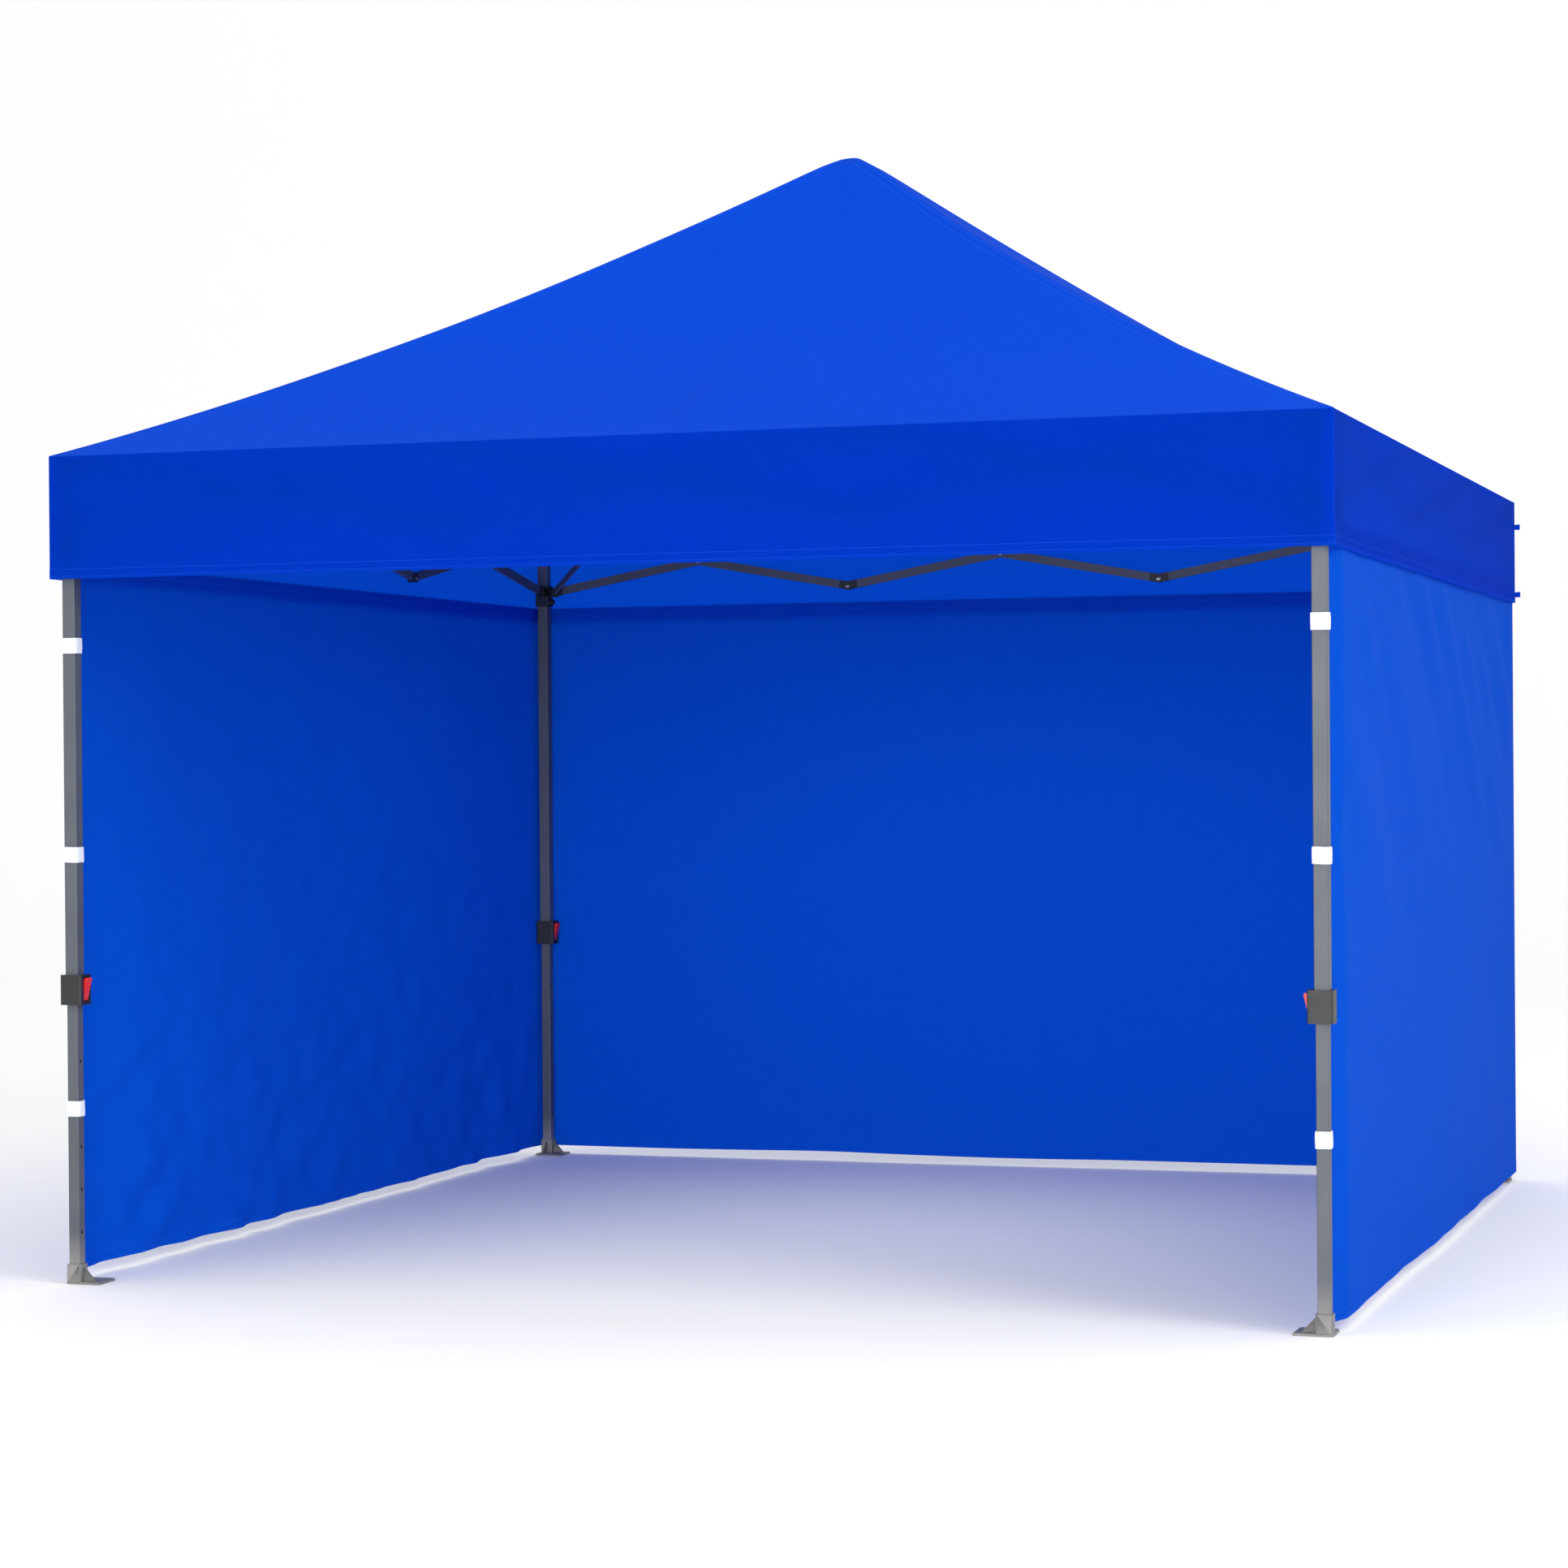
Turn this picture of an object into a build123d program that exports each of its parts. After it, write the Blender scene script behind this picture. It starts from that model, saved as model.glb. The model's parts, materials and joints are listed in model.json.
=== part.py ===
from build123d import *
import os
from math import atan2, cos, degrees, hypot, radians, sin, sqrt

# Pop-up canopy, 3 x 3 m, with a folding scissor frame, a peaked cover and three sidewalls.
# Millimetres, +Z up. The origin is on the ground under the centre of the frame.
# The front, which has no wall, faces -Y.

# ---- driving dimensions ----
LEG_SPACING = 2930.0      # leg axis to leg axis, along X and along Y
COVER_SIZE = 3002.0       # outside width of the cover at the eaves
EAVE_Z = 1930.0           # top edge of the valance
VALANCE_DROP = 285.0
PEAK_Z = 2790.0

OUTER_TUBE = 32.0         # square outer leg
INNER_TUBE = 27.5         # square inner leg, sliding inside it
TUBE_WALL = 1.5
OUTER_LEG_BOTTOM = 668.0
OUTER_LEG_TOP = 1920.0
INNER_LEG_TOP = 900.0

TRUSS_TOP_Z = 1908.0      # pivots on the leg-top bracket
TRUSS_LOW_Z = 1738.0      # pivots on the slider
TRUSS_CELLS = 3           # crossed pairs of bars on each side
PIVOT_REACH = 35.0        # truss pivot from the leg axis, along the side
BAR_THICK = 12.0
BAR_HEIGHT = 24.0
BAR_WALL = 1.2
LAYER = 6.5               # each crossed bar's middle from the truss plane
KNUCKLE_LENGTH = 30.0     # moulded bar end, from the pivot to the tube

RAFTER_PIVOT_R = 55.0     # rafter and strut pivots from the leg axis, along the diagonal
RAFTER_PIVOT_Z = 1895.0
RAFTER_LENGTH = 1029.8    # lower rafter, leg pivot to knee
RAFTER_RISE = 4.0         # degrees above level when open
RAFTER_THICK = 14.0
RAFTER_HEIGHT = 20.0
STRUT_ATTACH = 460.0      # strut pin along the lower rafter, from the leg pivot
STRUT_THICK = 8.0
STRUT_SIDE = 11.5         # strut's middle beside the rafter's middle
UPPER_THICK = 12.0
UPPER_SIDE = 13.5         # upper rafter's middle beside the lower rafter's middle
HUB_Z = 2570.0            # upper rafter pivots on the peak hub
HUB_PIVOT_R = 45.0
CAP_Z = 2720.0            # top of the hub's domed cap

PIN_R = 3.0
PIN_BORE_R = 3.1
LOOSE_BORE_R = 4.6        # hub end of the upper rafters, which has play
HEAD_R = 6.5
HEAD_THICK = 2.4

WALL_INNER = 1493.0       # inside face of the sidewalls from the centre
WALL_THICK = 3.0
WALL_BOTTOM = 40.0
WALL_TOP = 1690.0
STRAP_Z = (410.0, 1002.0, 1490.0)
STRAP_HEIGHT = 36.0
STRAP_THICK = 2.2

LEVER_PIVOT = (23.0, 667.0)                    # lock lever's axis, across from the leg axis and Z
STAKE_HOLES = ((52.0, 22.0), (22.0, 52.0))     # holes in a foot plate, inwards from the leg axis
STAKE_R = 5.5

HALF = LEG_SPACING / 2
BUTTON_Z = TRUSS_LOW_Z - 29
CELL = (LEG_SPACING - 2 * PIVOT_REACH) / TRUSS_CELLS
TRUSS_DEPTH = TRUSS_TOP_Z - TRUSS_LOW_Z
BAR_LENGTH = hypot(CELL, TRUSS_DEPTH)
BAR_ANGLE = degrees(atan2(TRUSS_DEPTH, CELL))
KNEE_R = RAFTER_PIVOT_R + RAFTER_LENGTH * cos(radians(RAFTER_RISE))
KNEE_Z = RAFTER_PIVOT_Z + RAFTER_LENGTH * sin(radians(RAFTER_RISE))
HUB_END_R = HALF * sqrt(2) - HUB_PIVOT_R
UPPER_LENGTH = hypot(HUB_END_R - KNEE_R, HUB_Z - KNEE_Z)
UPPER_ANGLE = degrees(atan2(HUB_Z - KNEE_Z, HUB_END_R - KNEE_R))
ATTACH_R = RAFTER_PIVOT_R + STRUT_ATTACH * cos(radians(RAFTER_RISE))
ATTACH_Z = RAFTER_PIVOT_Z + STRUT_ATTACH * sin(radians(RAFTER_RISE))
STRUT_LENGTH = hypot(ATTACH_R - RAFTER_PIVOT_R, ATTACH_Z - TRUSS_LOW_Z)
STRUT_ANGLE = degrees(atan2(ATTACH_Z - TRUSS_LOW_Z, ATTACH_R - RAFTER_PIVOT_R))

# corner name -> which way it lies from the centre, in X and in Y
CORNERS = {
    "front_left": (-1, -1),
    "front_right": (1, -1),
    "rear_left": (-1, 1),
    "rear_right": (1, 1),
}
# side name -> the corner its bar chain starts at, the turn of its chain about Z from +X,
# and which way is outwards along the chain's own Y
SIDES = {
    "front": ("front_left", 0, -1),
    "rear": ("rear_left", 0, 1),
    "left": ("rear_left", -90, -1),
    "right": ("rear_right", -90, 1),
}


def block(x, y, z):
    """A box given by its low and high limits along X, Y and Z."""
    size = [high - low for low, high in (x, y, z)]
    middle = [(high + low) / 2 for low, high in (x, y, z)]
    return Pos(*middle) * Box(*size)


def rod_y(radius, y, x=0.0, z=0.0):
    """A cylinder along Y between two limits."""
    return Pos(x, (y[0] + y[1]) / 2, z) * Rot(90, 0, 0) * Cylinder(radius, y[1] - y[0])


def rod_x(radius, x, y=0.0, z=0.0):
    """A cylinder along X between two limits."""
    return Pos((x[0] + x[1]) / 2, y, z) * Rot(0, 90, 0) * Cylinder(radius, x[1] - x[0])


def rivet(y, x=0.0, z=0.0):
    """A headed pin along Y that grips from y[0] to y[1]."""
    return (
        rod_y(PIN_R, y, x, z)
        + rod_y(HEAD_R, (y[0] - HEAD_THICK, y[0]), x, z)
        + rod_y(HEAD_R, (y[1], y[1] + HEAD_THICK), x, z)
    )


def washer(y, x):
    """A thin spacer between two bars."""
    return rod_y(HEAD_R, y, x) - rod_y(PIN_BORE_R, y, x)


def square_tube(size, wall, low, high, corner=2.0):
    """A square tube along Z with rounded corners."""
    outside = Rectangle(size, size)
    outside = fillet(outside.vertices(), corner)
    profile = outside - Rectangle(size - 2 * wall, size - 2 * wall)
    return Pos(0, 0, low) * extrude(profile, high - low)


def at_corner(shape, corner):
    """Moves a shape from the corner's own frame, where +X and +Y point inwards, to its leg."""
    side_x, side_y = CORNERS[corner]
    if side_x > 0:
        shape = mirror(shape, about=Plane.YZ)
    if side_y > 0:
        shape = mirror(shape, about=Plane.XZ)
    return Pos(side_x * HALF, side_y * HALF, 0) * shape


def on_diagonal(shape, r, z, angle=0.0):
    """Turns a shape made along +X up by an angle, then puts it on the corner's diagonal."""
    return Rot(0, 0, 45) * Pos(r, 0, z) * Rot(0, -angle, 0) * shape


def layer_of(corner, along, level):
    """Where the bar at a bracket lies across the truss plane, in the corner's own frame: -1 for the
    outer layer and 1 for the inner one. The bars that fall away from a chain's start are outer."""
    side_x, side_y = CORNERS[corner]
    side = ("rear" if side_y > 0 else "front") if along == "x" else ("right" if side_x > 0 else "left")
    starts_here = SIDES[side][0] == corner
    falls = starts_here if level == "top" else not starts_here
    return -1 if falls else 1


# ---- truss bars ----


def bar(length, middle_y, thick, height, wall, bores, end_bores=(PIN_BORE_R, PIN_BORE_R)):
    """A rectangular tube with a moulded knuckle at each end, along +X from pivot to pivot."""
    half = thick / 2
    across = (middle_y - half, middle_y + half)
    tube_across = (middle_y - half + 0.5, middle_y + half - 0.5)
    tube = block((KNUCKLE_LENGTH, length - KNUCKLE_LENGTH), tube_across, (-height / 2, height / 2))
    tube -= block(
        (KNUCKLE_LENGTH - 1, length - KNUCKLE_LENGTH + 1),
        (tube_across[0] + wall, tube_across[1] - wall),
        (-height / 2 + wall, height / 2 - wall),
    )
    for x in bores:
        tube -= rod_y(PIN_BORE_R, (across[0] - 1, across[1] + 1), x)
    ends = []
    for pivot, inner, bore in ((0, KNUCKLE_LENGTH, end_bores[0]), (length, length - KNUCKLE_LENGTH, end_bores[1])):
        knuckle = rod_y(height / 2 + 0.5, across, pivot)
        knuckle += block(sorted((pivot, inner)), across, (-height / 2 - 0.5, height / 2 + 0.5))
        ends.append(knuckle - rod_y(bore, (across[0] - 1, across[1] + 1), pivot))
    return [tube] + ends


def truss_bar(kind, number, outward):
    """One bar of a crossed pair, with the rivets that it carries. A down bar falls away from the
    chain's start and carries the middle rivet. Each inner joint's rivet is on one of its two bars."""
    layer = outward * LAYER * (1 if kind == "down" else -1)
    solids = bar(BAR_LENGTH, layer, BAR_THICK, BAR_HEIGHT, BAR_WALL, [BAR_LENGTH / 2])
    grip = (-LAYER - BAR_THICK / 2 - 0.1, LAYER + BAR_THICK / 2 + 0.1)
    joints = [BAR_LENGTH / 2] if kind == "down" else []
    if number < TRUSS_CELLS:
        joints.append(BAR_LENGTH)
    for x in joints:
        solids += [rivet(grip, x), washer((-0.4, 0.4), x)]
    return solids


def truss_side(side):
    """The three crossed pairs of one side: {node: solids}, in place."""
    start, turn, outward = SIDES[side]
    side_x, side_y = CORNERS[start]
    place = Pos(side_x * HALF, side_y * HALF, 0) * Rot(0, 0, turn)
    nodes = {}
    for number in range(1, TRUSS_CELLS + 1):
        x = PIVOT_REACH + (number - 1) * CELL
        for kind, z, angle in (("down", TRUSS_TOP_Z, BAR_ANGLE), ("up", TRUSS_LOW_Z, -BAR_ANGLE)):
            move = place * Pos(x, 0, z) * Rot(0, angle, 0)
            nodes[f"{side}_truss_{kind}_bar_{number}"] = [move * s for s in truss_bar(kind, number, outward)]
    return nodes


# ---- leg, in the corner's own frame ----


def arm(along, layer, z, from_axis):
    """Two ears that hold a truss bar's end, reaching along X or Y from a bracket's block."""
    gap, ear = BAR_THICK / 2 + 0.4, 4.0
    middle = layer * LAYER
    reach = (from_axis, PIVOT_REACH + 12)
    ears = None
    for low, high in ((middle - gap - ear, middle - gap), (middle + gap, middle + gap + ear)):
        piece = block(reach, (low, high), (z - 14, z + 14))
        piece -= rod_y(PIN_BORE_R, (low - 1, high + 1), PIVOT_REACH, z)
        ears = piece if ears is None else ears + piece
    pin = rivet((middle - gap - ear - 0.1, middle + gap + ear + 0.1), PIVOT_REACH, z)
    if along == "y":
        swap = Plane((0, 0, 0), z_dir=(1, -1, 0))
        ears, pin = mirror(ears, about=swap), mirror(pin, about=swap)
    return ears, pin


def rafter_lug(z):
    """Two ears on the diagonal that hold the lower rafter, and their pin."""
    gap, ear = RAFTER_THICK / 2 + 0.4, 4.0
    lug = block((22, 42), (-5, 5), (z - 11, z + 11)) + block((38, 42), (-gap - ear, gap + ear), (z - 11, z + 11))
    for low, high in ((-gap - ear, -gap), (gap, gap + ear)):
        lug += block((42, RAFTER_PIVOT_R + 10), (low, high), (z - 11, z + 11))
    lug -= rod_y(PIN_BORE_R, (-20, 20), RAFTER_PIVOT_R, z)
    pin = rivet((-gap - ear - 0.1, gap + ear + 0.1), RAFTER_PIVOT_R, z)
    return Rot(0, 0, 45) * lug, Rot(0, 0, 45) * pin


def outer_leg(corner):
    """Outer tube, leg-top bracket with its three pins, and the height lock's housing."""
    tube = square_tube(OUTER_TUBE, TUBE_WALL, OUTER_LEG_BOTTOM, OUTER_LEG_TOP)
    bore = OUTER_TUBE / 2 + 0.15
    bracket = block((-20, 20), (-20, 20), (1880, 1925))
    pins = []
    for along in ("x", "y"):
        ears, pin = arm(along, layer_of(corner, along, "top"), TRUSS_TOP_Z, 19)
        bracket += ears
        pins.append(pin)
    lug, pin = rafter_lug(RAFTER_PIVOT_Z)
    bracket += lug
    pins.append(pin)
    bracket -= block((-bore, bore), (-bore, bore), (1870, OUTER_LEG_TOP + 0.5))
    housing = block((-25, 30), (-25, 25), (652, 722))
    housing = fillet(housing.edges().filter_by(Axis.Z), 4)
    housing -= block((-bore, bore), (-bore, bore), (OUTER_LEG_BOTTOM - 0.2, 730))
    inner = INNER_TUBE / 2 + 0.5
    housing -= block((-inner, inner), (-inner, inner), (640, 680))
    housing -= block((17.5, 31), (-11, 11), (659, 717))
    housing -= rod_y(1.6, (-15, 15), LEVER_PIVOT[0], LEVER_PIVOT[1])
    lever_pin = rod_y(1.5, (-14, 14), LEVER_PIVOT[0], LEVER_PIVOT[1])
    return [tube, bracket, housing, lever_pin] + pins


def lock_lever():
    """Red rocker that leans out of the housing and is pressed in at its top."""
    outline = Polyline(
        (19.5, 662), (27.5, 662), (29.5, 670), (39.5, 712), (37.5, 715), (31.5, 715), (19.5, 670), close=True
    )
    face = Plane.XZ * make_face(outline)
    lever = extrude(face, 10, both=True)
    for z in (684, 694, 704):
        lever -= Pos(31.6 + (z - 680) * 0.24, 0, z) * Rot(0, 14, 0) * Box(1.6, 16, 3)
    return [lever - rod_y(1.6, (-12, 12), *LEVER_PIVOT)]


def inner_leg():
    """Inner tube with its row of height holes, the foot plate and its socket."""
    tube = square_tube(INNER_TUBE, TUBE_WALL, 6.2, INNER_LEG_TOP)
    for z in (120, 220, 320, 420, 520):
        tube -= rod_x(4.0, (8, 20), 0, z)
    plate = block((-20, 66), (-20, 66), (0, 6))
    plate = fillet(plate.edges().filter_by(Axis.Z), 8)
    plate = chamfer(plate.faces().sort_by(Axis.Z)[-1].edges(), 1.5)
    for x, y in STAKE_HOLES:
        plate -= Pos(x, y, 3) * Cylinder(STAKE_R, 10)
    half = INNER_TUBE / 2 + 0.1
    socket = block((-18, 18), (-18, 18), (6.2, 46))
    socket = fillet(socket.edges().filter_by(Axis.Z), 3)
    socket -= block((-half, half), (-half, half), (0, 60))
    gusset = Polyline((18, 6.2), (50, 6.2), (18, 40), close=True)
    rib = extrude(Plane.XZ * make_face(gusset), 2, both=True)
    socket += rib + mirror(rib, about=Plane((0, 0, 0), z_dir=(1, -1, 0)))
    return [tube, plate, socket]


def slider(corner):
    """Sliding bracket on the outer leg: two truss arms, the strut's lug and the button's boss."""
    bore = OUTER_TUBE / 2 + 0.5
    body = block((-21, 21), (-21, 21), (TRUSS_LOW_Z - 44, TRUSS_LOW_Z + 20))
    body = fillet(body.edges().filter_by(Axis.Z), 3)
    pins = []
    for along in ("x", "y"):
        ears, pin = arm(along, layer_of(corner, along, "low"), TRUSS_LOW_Z, 20)
        body += ears
        pins.append(pin)
    lug = block((23, RAFTER_PIVOT_R + 9), (-6.5, 4), (TRUSS_LOW_Z - 10, TRUSS_LOW_Z + 10))
    lug -= rod_y(PIN_BORE_R, (-10, 10), RAFTER_PIVOT_R, TRUSS_LOW_Z)
    body += Rot(0, 0, 45) * lug
    body += rod_x(11.5, (20, 26), 0, BUTTON_Z)
    body -= rod_x(8.4, (17.5, 30), 0, BUTTON_Z)
    body -= block((-bore, bore), (-bore, bore), (1600, 1800))
    strut_pin = rivet((-STRUT_SIDE - STRUT_THICK / 2 - 0.1, 4.1), RAFTER_PIVOT_R, TRUSS_LOW_Z)
    pins.append(Rot(0, 0, 45) * strut_pin)
    return [body] + pins


def slider_button():
    """Round button that frees the slider, pressed towards the leg."""
    button = rod_x(8.0, (24, 33), 0, BUTTON_Z)
    return [chamfer(button.faces().sort_by(Axis.X)[-1].edges(), 1.2)]


# ---- roof linkage, in the corner's own frame ----


def lower_rafter():
    """From the leg-top bracket to the knee, with the knee's rivet."""
    solids = bar(RAFTER_LENGTH, 0, RAFTER_THICK, RAFTER_HEIGHT, BAR_WALL, [])
    side = RAFTER_THICK / 2
    solids.append(rivet((-side - 0.1, UPPER_SIDE + UPPER_THICK / 2 + 0.1), RAFTER_LENGTH))
    boss = rod_y(HEAD_R, (side + 0.1, side + 0.1 + HEAD_THICK), STRUT_ATTACH)
    solids.append(boss)
    return [on_diagonal(s, RAFTER_PIVOT_R, RAFTER_PIVOT_Z, RAFTER_RISE) for s in solids]


def upper_rafter():
    """From the knee to the peak hub. Its hub end has a loose bore."""
    solids = bar(
        UPPER_LENGTH, UPPER_SIDE, UPPER_THICK, RAFTER_HEIGHT, BAR_WALL, [], (PIN_BORE_R, LOOSE_BORE_R)
    )
    return [on_diagonal(s, KNEE_R, KNEE_Z, UPPER_ANGLE) for s in solids]


def strut():
    """From the slider up to the side of the lower rafter."""
    solids = bar(STRUT_LENGTH, -STRUT_SIDE, STRUT_THICK, 16.0, BAR_WALL, [])
    far = -STRUT_SIDE - STRUT_THICK / 2
    cap = rod_y(HEAD_R, (far - 0.1 - HEAD_THICK, far - 0.1), STRUT_LENGTH)
    return [on_diagonal(s, RAFTER_PIVOT_R, TRUSS_LOW_Z, STRUT_ANGLE) for s in solids + [cap]]


def peak_hub():
    """Hub with four lugs and pins, and the peak pole with its domed cap."""
    hub = Pos(0, 0, HUB_Z) * Cylinder(34, 22)
    pins = []
    for corner, (side_x, side_y) in CORNERS.items():
        lug = block((-HUB_PIVOT_R - 9, -20), (-6, 6), (-10, 10))
        lug -= rod_y(PIN_BORE_R, (-10, 10), -HUB_PIVOT_R)
        pin = rivet((-6.1, UPPER_SIDE + UPPER_THICK / 2 + 1.2), -HUB_PIVOT_R)
        turned = [Rot(0, 0, 45) * Pos(HALF * sqrt(2), 0, HUB_Z) * s for s in (lug, pin)]
        lug, pin = [at_corner(s, corner) for s in turned]
        hub += lug
        pins.append(pin)
    hub -= Pos(0, 0, HUB_Z) * Cylinder(11.2, 40)
    pole = Pos(0, 0, (HUB_Z - 20 + CAP_Z) / 2) * Cylinder(11, CAP_Z - HUB_Z + 20)
    cap_radius, cap_rise = 55.0, 30.0
    ball = (cap_radius**2 + cap_rise**2) / (2 * cap_rise)
    cap = Pos(0, 0, CAP_Z + cap_rise - ball) * Sphere(ball)
    cap &= block((-60, 60), (-60, 60), (CAP_Z, CAP_Z + 40))
    cap += Pos(0, 0, CAP_Z - 20) * (Cylinder(18, 40) - Cylinder(11.2, 40))
    return [hub, pole, cap] + pins


# ---- cover and sidewalls ----


def peaked_solid(half, drop):
    """A square block from the valance's hem to the eaves under a peak with sagging ridges."""
    rise = PEAK_Z - EAVE_Z
    sag = 0.26
    low = EAVE_Z - VALANCE_DROP - (1 if drop else 0)
    solid = block((-half, half), (-half, half), (low, EAVE_Z - drop))
    sections = []
    for t in (0, 0.12, 0.25, 0.4, 0.55, 0.7, 0.85, 0.975):
        z = EAVE_Z - drop + rise * (t - sag * t * (1 - t))
        sections.append(Pos(0, 0, z) * Rectangle(2 * half * (1 - t), 2 * half * (1 - t)))
    return solid + loft(sections, ruled=True)


def cover():
    """Cover with its valance, one closed shell open underneath."""
    return [peaked_solid(COVER_SIZE / 2, 0) - peaked_solid(COVER_SIZE / 2 - 3, 4)]


def sidewalls():
    """Left, rear and right walls, sewn into one run round the outside of the legs."""
    outer = WALL_INNER + WALL_THICK
    wall = block((-outer, outer), (-HALF, outer), (WALL_BOTTOM, WALL_TOP))
    wall -= block((-WALL_INNER, WALL_INNER), (-HALF - 1, WALL_INNER), (WALL_BOTTOM - 1, WALL_TOP + 1))
    return [wall]


def wall_straps():
    """White straps that hold the walls' front edges to the front legs, three on each."""
    solids = []
    for corner in ("front_left", "front_right"):
        for z in STRAP_Z:
            leg = INNER_TUBE if z < OUTER_LEG_BOTTOM else OUTER_TUBE
            inside = leg / 2 + 0.6
            outside = inside + STRAP_THICK
            limits = (z - STRAP_HEIGHT / 2, z + STRAP_HEIGHT / 2)
            ring = block((-outside, outside), (-outside, outside), limits)
            ring -= block((-inside, inside), (-inside, inside), (0, EAVE_Z))
            solids.append(at_corner(ring, corner))
    return solids


# ---- build ----

nodes = {}
for side in SIDES:
    nodes.update(truss_side(side))
for corner in CORNERS:
    pieces = {
        "outer_leg": outer_leg(corner),
        "inner_leg": inner_leg(),
        "slider": slider(corner),
        "lock_lever": lock_lever(),
        "slider_button": slider_button(),
        "lower_rafter": lower_rafter(),
        "upper_rafter": upper_rafter(),
        "rafter_strut": strut(),
    }
    for name, solids in pieces.items():
        nodes[f"{corner}_{name}"] = [at_corner(s, corner) for s in solids]
nodes["peak_hub"] = peak_hub()
nodes["cover"] = cover()
nodes["sidewalls"] = sidewalls()
nodes["wall_straps"] = wall_straps()

os.makedirs("parts", exist_ok=True)
for name, solids in nodes.items():
    flat = [s for piece in solids for s in piece.solids()]
    shape = flat[0] if len(flat) == 1 else Compound(children=flat)
    export_step(shape, f"parts/{name}.step")
print(len(nodes), "nodes,", sum(len(n) for n in nodes.values()), "pieces")
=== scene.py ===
import json
import math

import bpy
import numpy as np
from mathutils import Matrix, Vector, noise


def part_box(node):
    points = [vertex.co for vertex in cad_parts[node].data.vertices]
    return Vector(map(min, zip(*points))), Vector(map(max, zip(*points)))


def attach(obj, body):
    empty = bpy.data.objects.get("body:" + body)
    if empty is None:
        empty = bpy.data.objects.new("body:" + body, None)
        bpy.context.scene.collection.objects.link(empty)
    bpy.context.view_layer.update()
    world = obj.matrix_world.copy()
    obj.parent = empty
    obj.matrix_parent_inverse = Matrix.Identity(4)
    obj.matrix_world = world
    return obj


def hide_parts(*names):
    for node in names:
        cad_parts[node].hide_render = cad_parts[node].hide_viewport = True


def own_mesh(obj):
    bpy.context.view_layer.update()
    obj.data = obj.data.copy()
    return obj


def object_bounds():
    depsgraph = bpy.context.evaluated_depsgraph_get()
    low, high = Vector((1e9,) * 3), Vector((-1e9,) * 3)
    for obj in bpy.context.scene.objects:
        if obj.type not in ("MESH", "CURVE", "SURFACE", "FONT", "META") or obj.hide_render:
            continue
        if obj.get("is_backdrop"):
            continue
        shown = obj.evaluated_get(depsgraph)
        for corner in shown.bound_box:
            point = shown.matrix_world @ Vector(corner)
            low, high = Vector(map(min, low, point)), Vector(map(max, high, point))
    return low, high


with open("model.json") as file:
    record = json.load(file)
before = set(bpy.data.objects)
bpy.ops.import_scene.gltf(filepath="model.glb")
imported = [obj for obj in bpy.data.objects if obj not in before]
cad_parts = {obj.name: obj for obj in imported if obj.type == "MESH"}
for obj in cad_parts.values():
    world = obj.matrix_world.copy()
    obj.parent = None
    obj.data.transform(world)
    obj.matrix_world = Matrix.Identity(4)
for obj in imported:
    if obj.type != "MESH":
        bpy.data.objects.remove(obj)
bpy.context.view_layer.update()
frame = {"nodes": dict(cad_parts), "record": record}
joints = {j["name"]: j for j in frame["record"]["behaviour"]["joints"]}

# ---- frame tubes ----
# Square and flat steel tube with a grey hammered powder coat, cut, punched and riveted. The
# crossed bars and rafters end in black nylon knuckles, turned on zinc-plated rivets. A nylon
# bracket caps each outer leg and a nylon lock housing closes its foot.


def group(name, inputs, outputs):
    """An empty shader node group with its sockets; inputs are (name, kind, value)."""
    tree = bpy.data.node_groups.new(name, "ShaderNodeTree")
    for label, kind, value in inputs:
        socket = tree.interface.new_socket(label, in_out="INPUT", socket_type=kind)
        if value is not None:
            socket.default_value = value
    for label, kind in outputs:
        tree.interface.new_socket(label, in_out="OUTPUT", socket_type=kind)
    return tree, tree.nodes.new("NodeGroupInput"), tree.nodes.new("NodeGroupOutput")


def add(tree, kind, inputs=(), **settings):
    """A new node. inputs maps a socket's name or number to a value or to another socket."""
    made = tree.nodes.new(kind)
    for key, value in settings.items():
        setattr(made, key, value)
    for key, value in dict(inputs).items():
        if isinstance(value, bpy.types.NodeSocket):
            tree.links.new(value, made.inputs[key])
        else:
            made.inputs[key].default_value = value
    return made


def sum_of(tree, operation, a, b=0.0, c=0.0):
    """One maths node's result."""
    return add(tree, "ShaderNodeMath", {0: a, 1: b, 2: c}, operation=operation).outputs[0]


def finish_of(name, base, roughness, **more):
    """A new material with one Principled shader; more are its sockets by name, _ for space."""
    made = bpy.data.materials.new(name)
    made.use_nodes = True
    shader = made.node_tree.nodes["Principled BSDF"]
    shader.inputs["Base Color"].default_value = (*base, 1.0)
    shader.inputs["Roughness"].default_value = roughness
    for key, value in more.items():
        shader.inputs[key.replace("_", " ")].default_value = value
    return made, made.node_tree, shader


def tint(tree, shader, mask, light, dark):
    """Colours the shader between two tones by a mask."""
    mix = add(tree, "ShaderNodeMix", {0: mask, 6: (*light, 1.0), 7: (*dark, 1.0)}, data_type="RGBA")
    tree.links.new(mix.outputs[2], shader.inputs["Base Color"])


def relief(tree, shader, height, depth, strength=1.0):
    """Bump of the given depth in metres from a height socket."""
    bump = add(tree, "ShaderNodeBump", {"Height": height, "Distance": depth, "Strength": strength})
    tree.links.new(bump.outputs[0], shader.inputs["Normal"])


def place(tree, kind, **values):
    """An effect group placed in a material, with its own values or sockets."""
    made = add(tree, "ShaderNodeGroup", node_tree=bpy.data.node_groups[kind])
    for key, value in values.items():
        if isinstance(value, bpy.types.NodeSocket):
            tree.links.new(value, made.inputs[key])
        else:
            made.inputs[key].default_value = value
    return made.outputs


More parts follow.
